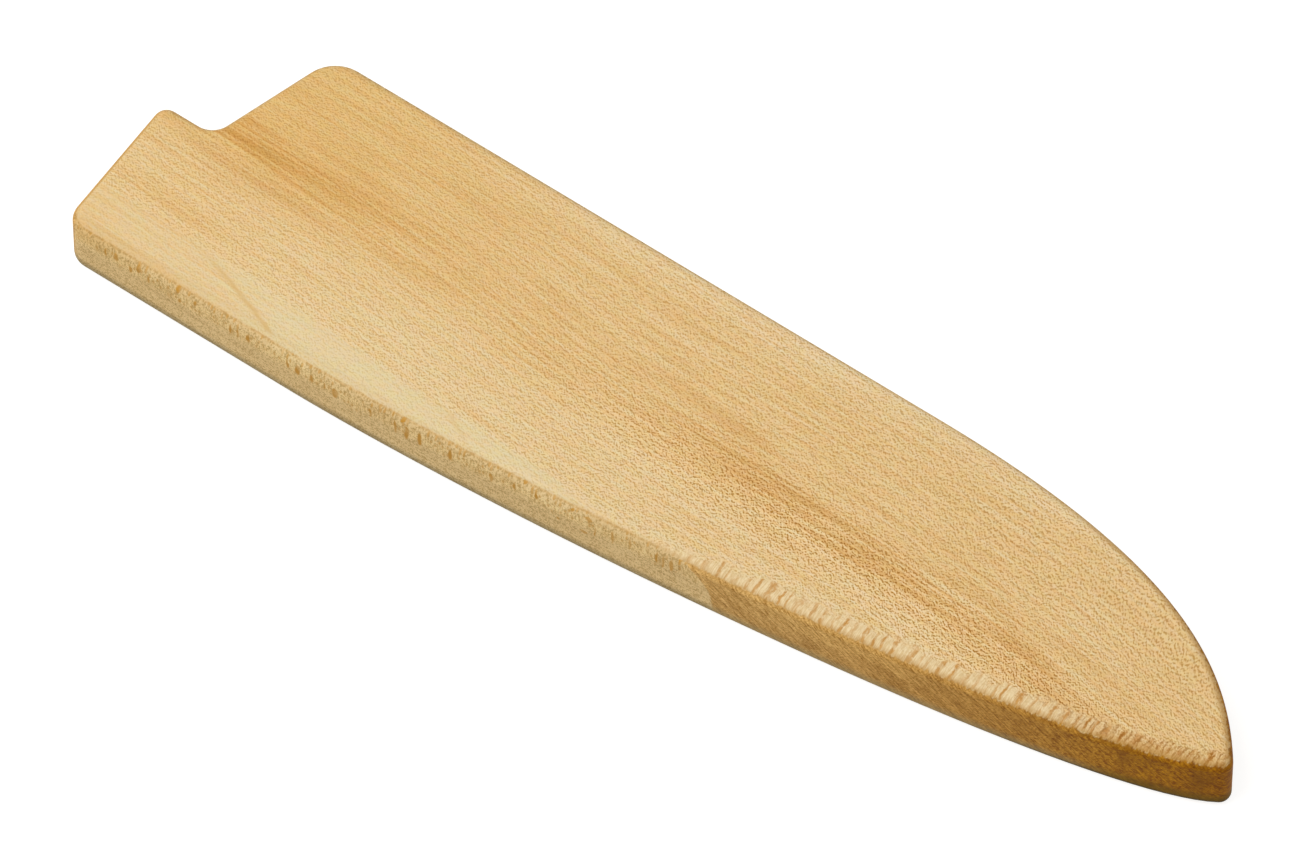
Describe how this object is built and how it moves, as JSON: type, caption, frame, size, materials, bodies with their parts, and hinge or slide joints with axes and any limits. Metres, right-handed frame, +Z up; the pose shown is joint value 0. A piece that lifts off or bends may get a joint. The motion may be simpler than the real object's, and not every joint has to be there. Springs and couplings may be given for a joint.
{
  "type": "knife blade guard",
  "caption": "Closed wooden guard for a chef's knife blade: two leaves glued face to face, a slot cut into the back one and open at the stepped back end, and magnets let into the front one that hold the blade.",
  "frame": {"origin": "under the middle of the guard's bounding box, on the face that it rests on", "axes": "+X towards the tip along the length, +Y from the edge side to the spine side, +Z up through the thickness"},
  "size_m": [0.224, 0.054, 0.0132],
  "materials": {
    "front_wood": "oiled satin, fine flecked grain along the length",
    "back_wood": "oiled satin, fine flecked grain along the length",
    "magnet": "nickel-plated disc"
  },
  "bodies": {
    "root": {"front_leaf": "front_wood", "back_leaf": "back_wood", "heel_magnet": "magnet", "middle_magnet": "magnet", "tip_magnet": "magnet"}
  },
  "joints": []
}
